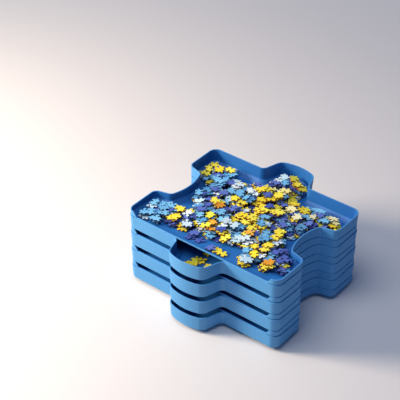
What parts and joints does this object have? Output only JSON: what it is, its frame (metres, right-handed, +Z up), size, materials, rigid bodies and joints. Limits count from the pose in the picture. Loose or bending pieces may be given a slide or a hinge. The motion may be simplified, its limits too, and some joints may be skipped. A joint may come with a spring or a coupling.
{
  "type": "puzzle sorter",
  "caption": "Nesting stack of shallow trays shaped like jigsaw pieces, with tilted rims, finger sockets and a pouring lip, holding sorted jigsaw pieces.",
  "frame": {"origin": "centre of the stack's footprint, on the surface that it stands on", "axes": "+Z up through the stack, +Y towards the top tray's tab, +X towards the right-hand finger sockets"},
  "size_m": [0.2612, 0.2744, 0.1246],
  "materials": {
    "blue_plastic": "injection moulded, semi-gloss",
    "yellow_card": "printed and varnished puzzle board",
    "sky_blue_card": "printed and varnished puzzle board",
    "indigo_card": "printed and varnished puzzle board",
    "ice_white_card": "printed and varnished puzzle board",
    "cream_card": "printed and varnished puzzle board",
    "orange_card": "printed and varnished puzzle board"
  },
  "bodies": {
    "tray_1_body": {"tray_1": "blue_plastic", "tray_1_ice_white_pieces": "ice_white_card", "tray_1_sky_blue_pieces": "sky_blue_card"},
    "tray_2_body": {"tray_2": "blue_plastic", "tray_2_indigo_pieces": "indigo_card", "tray_2_sky_blue_pieces": "sky_blue_card"},
    "tray_3_body": {"tray_3": "blue_plastic", "tray_3_cream_pieces": "cream_card", "tray_3_yellow_pieces": "yellow_card"},
    "tray_4_body": {"tray_4": "blue_plastic", "tray_4_cream_pieces": "cream_card", "tray_4_ice_white_pieces": "ice_white_card"},
    "tray_5_body": {"tray_5": "blue_plastic", "tray_5_indigo_pieces": "indigo_card", "tray_5_orange_pieces": "orange_card"},
    "tray_6_body": {"tray_6": "blue_plastic", "tray_6_indigo_pieces": "indigo_card", "tray_6_sky_blue_pieces": "sky_blue_card"},
    "tray_7_body": {"tray_7": "blue_plastic", "tray_7_orange_pieces": "orange_card", "tray_7_yellow_pieces": "yellow_card"},
    "tray_8_body": {"tray_8": "blue_plastic", "tray_8_cream_pieces": "cream_card", "tray_8_ice_white_pieces": "ice_white_card", "tray_8_indigo_pieces": "indigo_card", "tray_8_orange_pieces": "orange_card", "tray_8_sky_blue_pieces": "sky_blue_card", "tray_8_yellow_pieces": "yellow_card"}
  },
  "joints": [
    {"name": "tray_2_lift", "type": "slide", "parent": "tray_1_body", "child": "tray_2_body", "axis": [0, 0, 1], "range_m": [0, 0.06]},
    {"name": "tray_3_lift", "type": "slide", "parent": "tray_2_body", "child": "tray_3_body", "axis": [0, 0, 1], "range_m": [0, 0.06]},
    {"name": "tray_4_lift", "type": "slide", "parent": "tray_3_body", "child": "tray_4_body", "axis": [0, 0, 1], "range_m": [0, 0.06]},
    {"name": "tray_5_lift", "type": "slide", "parent": "tray_4_body", "child": "tray_5_body", "axis": [0, 0, 1], "range_m": [0, 0.06]},
    {"name": "tray_6_lift", "type": "slide", "parent": "tray_5_body", "child": "tray_6_body", "axis": [0, 0, 1], "range_m": [0, 0.06]},
    {"name": "tray_7_lift", "type": "slide", "parent": "tray_6_body", "child": "tray_7_body", "axis": [0, 0, 1], "range_m": [0, 0.06]},
    {"name": "tray_8_lift", "type": "slide", "parent": "tray_7_body", "child": "tray_8_body", "axis": [0, 0, 1], "range_m": [0, 0.06]}
  ]
}
